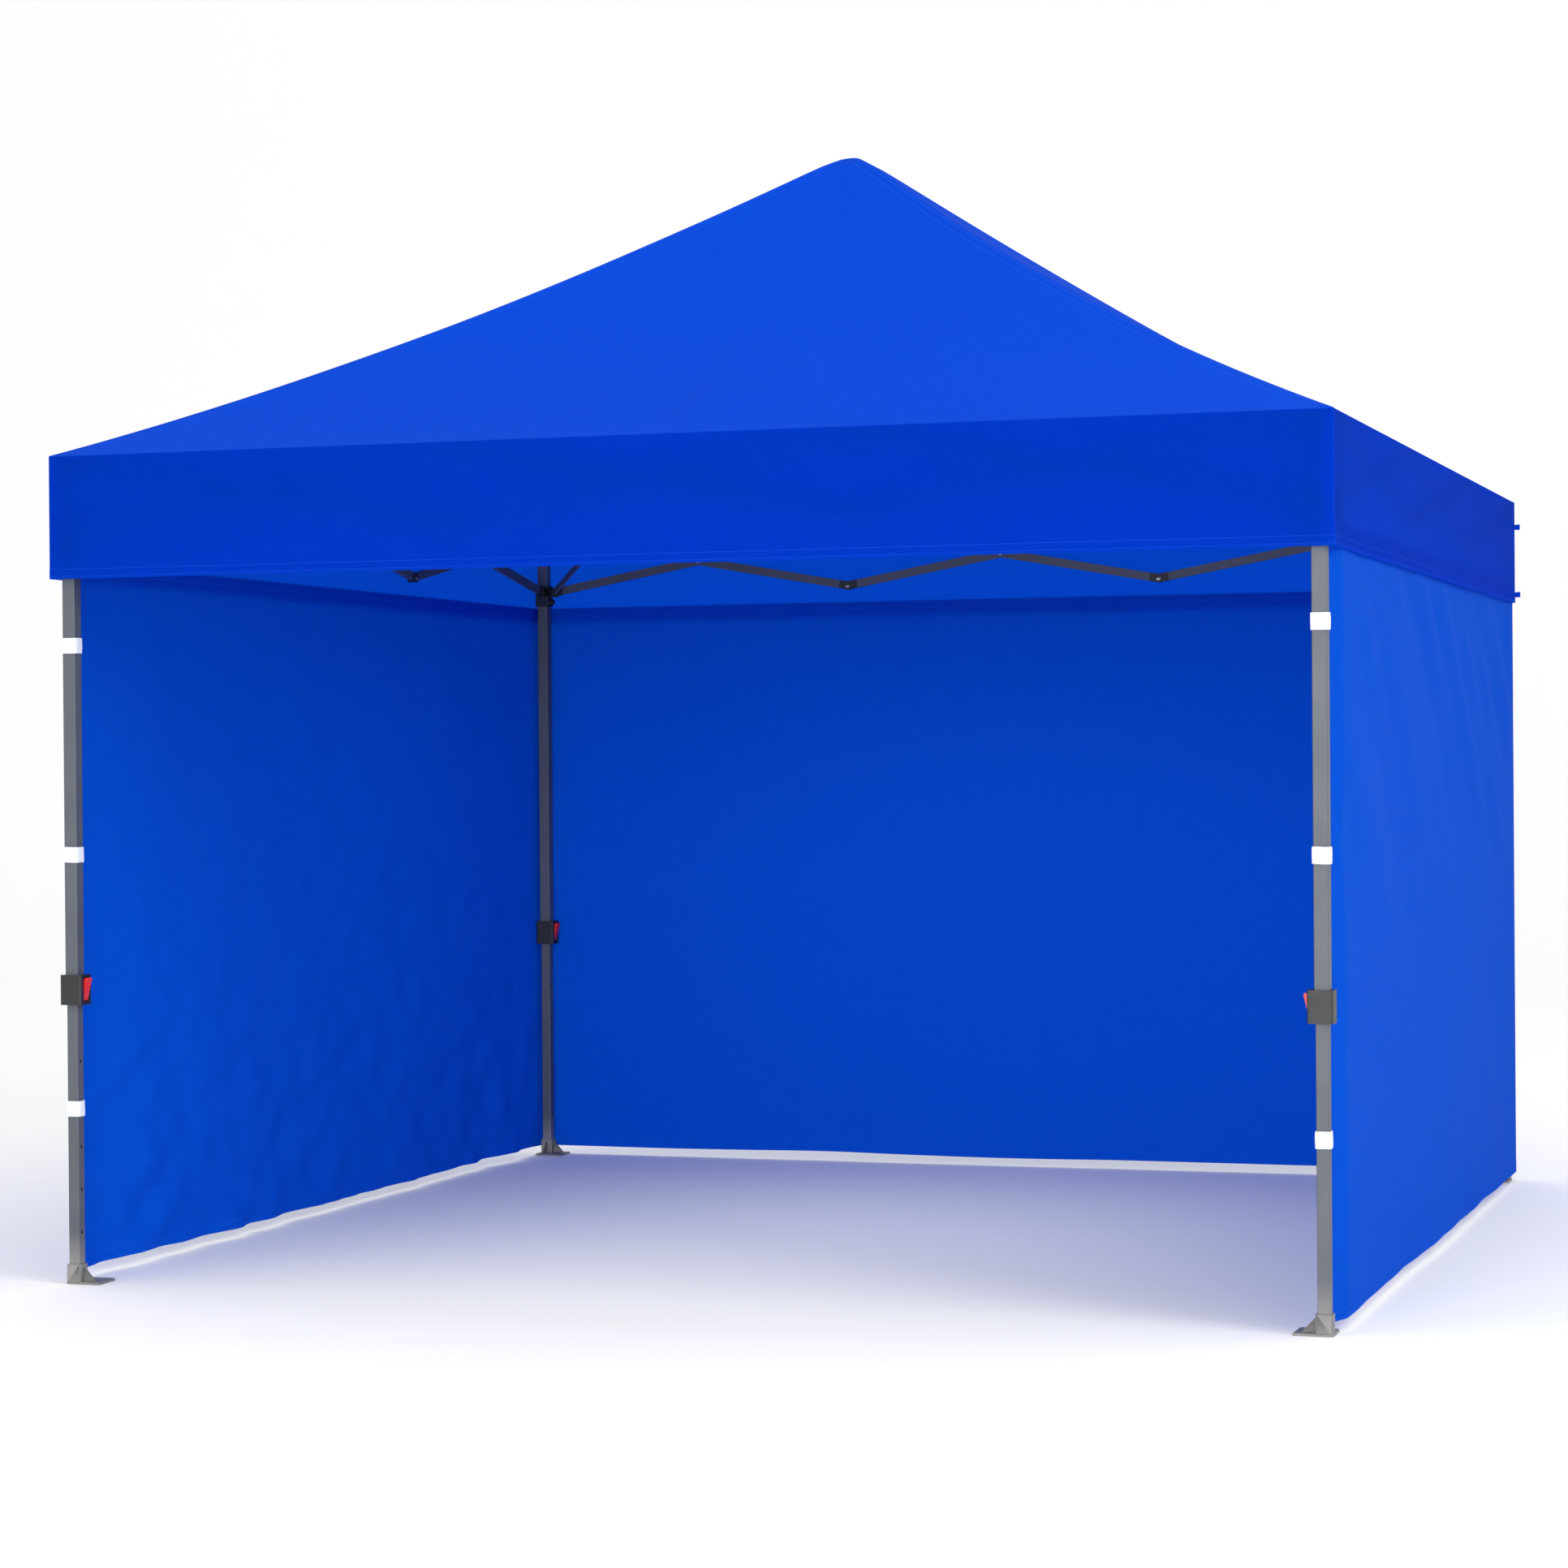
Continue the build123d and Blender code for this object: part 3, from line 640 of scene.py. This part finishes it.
# ---- corner tabs ----
# Short loops of blue webbing sewn into the valance's rear corner seams, two on each corner, that
# fasten the valance to the sidewalls.
TAB_HEIGHTS = (EAVE_Z - 0.070, EAVE_Z - 0.262)
TAB_THICK = 0.0016
for corner in ("rear_left", "rear_right"):
    px, py = CORNERS[corner]
    for number, height in enumerate(TAB_HEIGHTS, 1):
        points, maps = [], []
        for row in range(5):
            for column in range(13):
                turn = math.pi * column / 12
                out = 0.004 + 0.016 * math.sin(turn)
                side = 0.004 * math.cos(turn)
                x = px * (EAVE_HALF - 0.004 + out) + px * 0.0
                y = py * (EAVE_HALF - 0.010) + side
                up = 0.014 * (row / 4 - 0.5) + 0.001 * math.sin(turn * 2 + row)
                points.append((x, y, height + up))
                maps.append((column * 0.003, row * 0.0035, 0.003, column * 0.003))
        faces = grid_faces(13, 5)
        normals = surface_normals(points, faces)
        tab = cloth_piece(f"corner_tab_{corner}_{number}", points, faces, normals, np.array(maps),
                          TAB_THICK, shaded_band_cloth)
        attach(tab, f"{corner}_outer_leg")

# ---- sidewalls ----
# One run of three cloth panels round the left, rear and right, outside the legs, held under the
# valance by hook-and-loop tape. It keeps faint fold lines from its bag, with softer creases low
# down, and has a turned hem all round.
wall_low, wall_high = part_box("sidewalls")
WALL_MID = wall_high[0] - 0.0015
WALL_FRONT = leg_axis["front_left"].y + 0.027   # the front edges are drawn in behind the legs
WALL_DROP = 0.016       # how far the hem hangs below the stated panel
TUCK_LENGTH = 0.075
TUCK_DEEP = 0.020
WALL_COLUMNS = 141
WALL_ROWS = 91
WALLS = {
    "left": ((-WALL_MID, WALL_MID), (0, -1), (-1, 0), WALL_MID - WALL_FRONT, "rear_left", 5.0),
    "rear": ((-WALL_MID, WALL_MID), (1, 0), (0, 1), 2 * WALL_MID, "rear_left", 17.0),
    "right": ((WALL_MID, WALL_MID), (0, -1), (1, 0), WALL_MID - WALL_FRONT, "rear_right", 29.0),
}


def wall_wave(side, s, up, seed):
    """How far a wall stands out at a share s along it from its rear edge and a share up it."""
    hold = min(1.0, min(s, 1 - s) / 0.05)
    hold = hold * hold * (3 - 2 * hold)
    low = (1 - up) ** 1.6
    slow = 0.013 * ripple(s * 3.1, up * 1.3, seed)
    folds = 0.0055 * ripple(s * 13 + 2.5 * (1 - up), up * 2.2, seed + 3)
    slant = 0.0032 * ripple(s * 8 + up * 5.5, up * 1.5 - s, seed + 6)
    crease = 0.0
    if side == "left":
        crease = 0.020 * low * ripple(s * 16 + up * 9, up * 12, seed + 8)
        crease += 0.013 * low * ripple(s * 30, up * 19, seed)
    if side == "right":
        top = up**2
        crease = 0.030 * top * ripple(s * 12 - up * 7.5, up * 2.5, seed + 8)
    if side == "rear":
        crease = 0.004 * math.exp(-(((up - 0.29) / 0.02) ** 2)) + 0.003 * low * ripple(s * 6, up * 9, seed + 8)
    flat = min(1.0, (1 - up) / 0.07)
    flat = flat * flat * (3 - 2 * flat)
    return hold * (flat * (slow + folds + slant + crease) - 0.004 * (1 - flat))


for side, (start, along, outward, length, corner, seed) in WALLS.items():
    points, maps, thick = [], [], []
    origin = Vector((*start, 0))
    foot = wall_low[2] - WALL_DROP
    tall = wall_high[2] - foot
    for row in range(WALL_ROWS):
        up = row / (WALL_ROWS - 1)
        for column in range(WALL_COLUMNS):
            s = column / (WALL_COLUMNS - 1)
            off = wall_wave(side, s, up, seed)
            slack = 0.004 * (1 - up) ** 3 * ripple(s * 5, seed)
            tuck = 0.0
            if side != "rear":
                near = max(0.0, 1 - (1 - s) * length / TUCK_LENGTH)
                tuck = -TUCK_DEEP * near * near * (3 - 2 * near)
            spot = origin + Vector((*along, 0)) * length * s + Vector((*outward, 0)) * (off + tuck)
            points.append((spot.x, spot.y, foot + tall * up + slack))
            free = length * (1 - s) if side != "rear" else 1.0
            edge = min(up * tall, (1 - up) * tall, free)
            maps.append((s * length, up * tall, edge, up * tall if edge == free else s * length))
            thick.append(CLOTH_THICK * (2.0 if edge < HEM_DEEP else 1.0))
    faces = grid_faces(WALL_COLUMNS, WALL_ROWS)
    normals = surface_normals(points, faces)
    if normals[0] @ np.array((*outward, 0)) < 0:
        faces = [tuple(reversed(f)) for f in faces]
        normals = -normals
    wall = cloth_piece(f"sidewall_{side}", points, faces, normals, np.array(maps), thick, lit_wall_cloth)
    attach(wall, f"{corner}_outer_leg")
    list(along)
    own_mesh(wall)
    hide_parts("sidewalls")

# ---- wall straps ----
# White hook-and-loop straps sewn to the front edges of the walls and wrapped round the front
# legs, three on each. The free end laps over on the leg's outer face.
STRAP_TALL = 0.036
STRAP_THICK = 0.0020
STRAP_HEIGHTS = (0.410, 1.002, 1.490)
made, tree, shader = finish_of("white_webbing", (0.80, 0.83, 0.88), 0.78, Sheen_Weight=0.3)
cloth = add(tree, "ShaderNodeUVMap", uv_map="cloth_m").outputs[0]
edge = add(tree, "ShaderNodeAttribute", attribute_name="edge_m", attribute_type="GEOMETRY").outputs["Fac"]
along = add(tree, "ShaderNodeAttribute", attribute_name="along_m", attribute_type="GEOMETRY").outputs["Fac"]
weave = place(tree, "plain_weave", Cloth=cloth, Thread=0.0016)
seam = place(tree, "stitches", Edge=edge, Along=along, Row=0.004)
wear_and_painted_tint = add(tree, "ShaderNodeMapRange", {0: weave["Tone"], 1: 0.3, 2: 0.75}).outputs[0]
tint(tree, shader, wear_and_painted_tint, (0.82, 0.85, 0.90), (0.66, 0.69, 0.74))
relief(tree, shader, sum_of(tree, "MULTIPLY_ADD", seam["Pucker"], 0.6, weave["Height"]), 0.0006)
webbing = made

for corner in ("front_left", "front_right"):
    px, py = CORNERS[corner]
    for number, height in enumerate(STRAP_HEIGHTS, 1):
        on_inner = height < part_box(f"{corner}_outer_leg")[0][2]
        half = 0.0161 if on_inner else 0.0184
        body = f"{corner}_inner_leg" if on_inner else f"{corner}_outer_leg"
        loop = []
        turns = 76
        for i in range(turns):
            angle = 2 * math.pi * i / (turns - 16) + 0.8
            lap = max(0, i - (turns - 16)) / 16
            size = half + 0.0022 * min(1.0, lap * 3)
            cx, cy = math.cos(angle), math.sin(angle)
            power = (abs(cx) ** 5 + abs(cy) ** 5) ** (1 / 5)
            loop.append((size * cx / power, size * cy / power))
        points, maps = [], []
        rows = 9
        run = 0.0
        for i, (x, y) in enumerate(loop):
            if i:
                run += math.dist(loop[i - 1], (x, y))
            for row in range(rows):
                share = row / (rows - 1)
                bow = 0.0006 * math.sin(math.pi * share) + 0.0005 * ripple(i * 0.21, share * 2, height * 9)
                out = Vector((x, y, 0)).normalized() * bow
                tilt = 0.0016 * ripple(i * 0.05, height * 31)
                points.append((leg_axis[corner].x + x + out.x, leg_axis[corner].y + y + out.y,
                               height + STRAP_TALL * (share - 0.5) + tilt))
                maps.append((run, share * STRAP_TALL, min(share, 1 - share) * STRAP_TALL, run))
        faces = grid_faces(rows, len(loop))
        normals = surface_normals(points, faces)
        strap = cloth_piece(f"wall_strap_{corner}_{number}", points, faces, normals, np.array(maps),
                            STRAP_THICK, webbing)
        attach(strap, body)
        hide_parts("wall_straps")

# ---- floor and backdrop ----
# A matt white floor that sweeps up behind the canopy without a corner. In
# the middle, under the canopy, it has a painted warm tint that cancels the blue light falling through the cloth.
FLOOR_HALF = 22.0
SWEEP_START = 10.0
SWEEP_RADIUS = 5.0
SWEEP = [(-FLOOR_HALF, 0.0)]
for step in range(17):
    turn = step * math.pi / 32
    SWEEP.append((SWEEP_START + SWEEP_RADIUS * math.sin(turn), SWEEP_RADIUS - SWEEP_RADIUS * math.cos(turn)))
SWEEP.append((SWEEP_START + SWEEP_RADIUS, 14.0))
mesh = bpy.data.meshes.new("floor")
mesh.from_pydata([(x, y, z) for y, z in SWEEP for x in (-FLOOR_HALF, FLOOR_HALF)], [],
                 [(2 * i, 2 * i + 1, 2 * i + 3, 2 * i + 2) for i in range(len(SWEEP) - 1)])
mesh.shade_smooth()
floor = bpy.data.objects.new("floor", mesh)
bpy.context.scene.collection.objects.link(floor)
made, tree, shader = finish_of("floor_paper", (0.92, 0.92, 0.92), 0.9)
where = add(tree, "ShaderNodeTexCoord").outputs["Object"]
flat_off = add(tree, "ShaderNodeVectorMath", {0: where, 1: (0.30, 0.30, 0.30)}, operation="MULTIPLY")
middle = add(tree, "ShaderNodeTexGradient", {0: flat_off.outputs[0]}, gradient_type="SPHERICAL").outputs["Fac"]
# mask of the painted warm tint under the canopy, which cancels the blue light that comes through the cloth
wear_and_painted_tint = add(tree, "ShaderNodeMapRange", {0: middle, 1: 0.32, 2: 0.52}, interpolation_type="SMOOTHSTEP").outputs[0]
tint(tree, shader, wear_and_painted_tint, (0.92, 0.92, 0.92), (0.92, 0.915, 0.83))
mesh.materials.append(made)
floor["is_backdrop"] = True

# ---- light and camera ----
# A white room with a large soft lamp high at the right, one at the front and a small one that
# hangs inside, level with the tops of the walls.
world = bpy.data.worlds.new("white_room")
world.use_nodes = True
world.node_tree.nodes["Background"].inputs[0].default_value = (1.0, 1.0, 1.0, 1.0)
world.node_tree.nodes["Background"].inputs[1].default_value = 1.02
bpy.context.scene.world = world
bpy.context.scene.view_settings.view_transform = "Standard"


def lamp(name, where, target, size, power):
    """A square soft lamp that faces a target."""
    data = bpy.data.lights.new(name, "AREA")
    data.size = size
    data.energy = power
    made = bpy.data.objects.new(name, data)
    made.location = where
    made.rotation_euler = (Vector(target) - Vector(where)).to_track_quat("-Z", "Y").to_euler()
    made.visible_camera = False
    bpy.context.scene.collection.objects.link(made)


lamp("key_lamp", (9.0, -4.5, 5.8), (0, 0, 1.0), 4.5, 430.0)
lamp("front_lamp", (0.6, -10.5, 1.9), (-0.1, 1.4, 0.7), 4.0, 400.0)
lamp("inner_lamp", (0, 0, 1.62), (0, 0, 0), 1.6, 11.0)

CAMERA_AT = Vector((2.7951, -9.0321, 1.199))
CAMERA_YAW, CAMERA_PITCH, CAMERA_ROLL = -0.3203, -0.0052, -0.0077
forward = Vector((
    math.sin(CAMERA_YAW) * math.cos(CAMERA_PITCH),
    math.cos(CAMERA_YAW) * math.cos(CAMERA_PITCH),
    math.sin(CAMERA_PITCH),
))
level = Vector((math.cos(CAMERA_YAW), -math.sin(CAMERA_YAW), 0))
upright = level.cross(forward)
right = level * math.cos(CAMERA_ROLL) + upright * math.sin(CAMERA_ROLL)
upward = upright * math.cos(CAMERA_ROLL) - level * math.sin(CAMERA_ROLL)
lens = bpy.data.cameras.new("camera")
lens.sensor_width = 36.0
lens.lens = 83.75
lens.clip_end = 200.0
camera = bpy.data.objects.new("camera", lens)
turned = Matrix((right, upward, -forward)).transposed().to_4x4()
camera.matrix_world = Matrix.Translation(CAMERA_AT) @ turned
bpy.context.scene.collection.objects.link(camera)
bpy.context.scene.camera = camera

low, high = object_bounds()
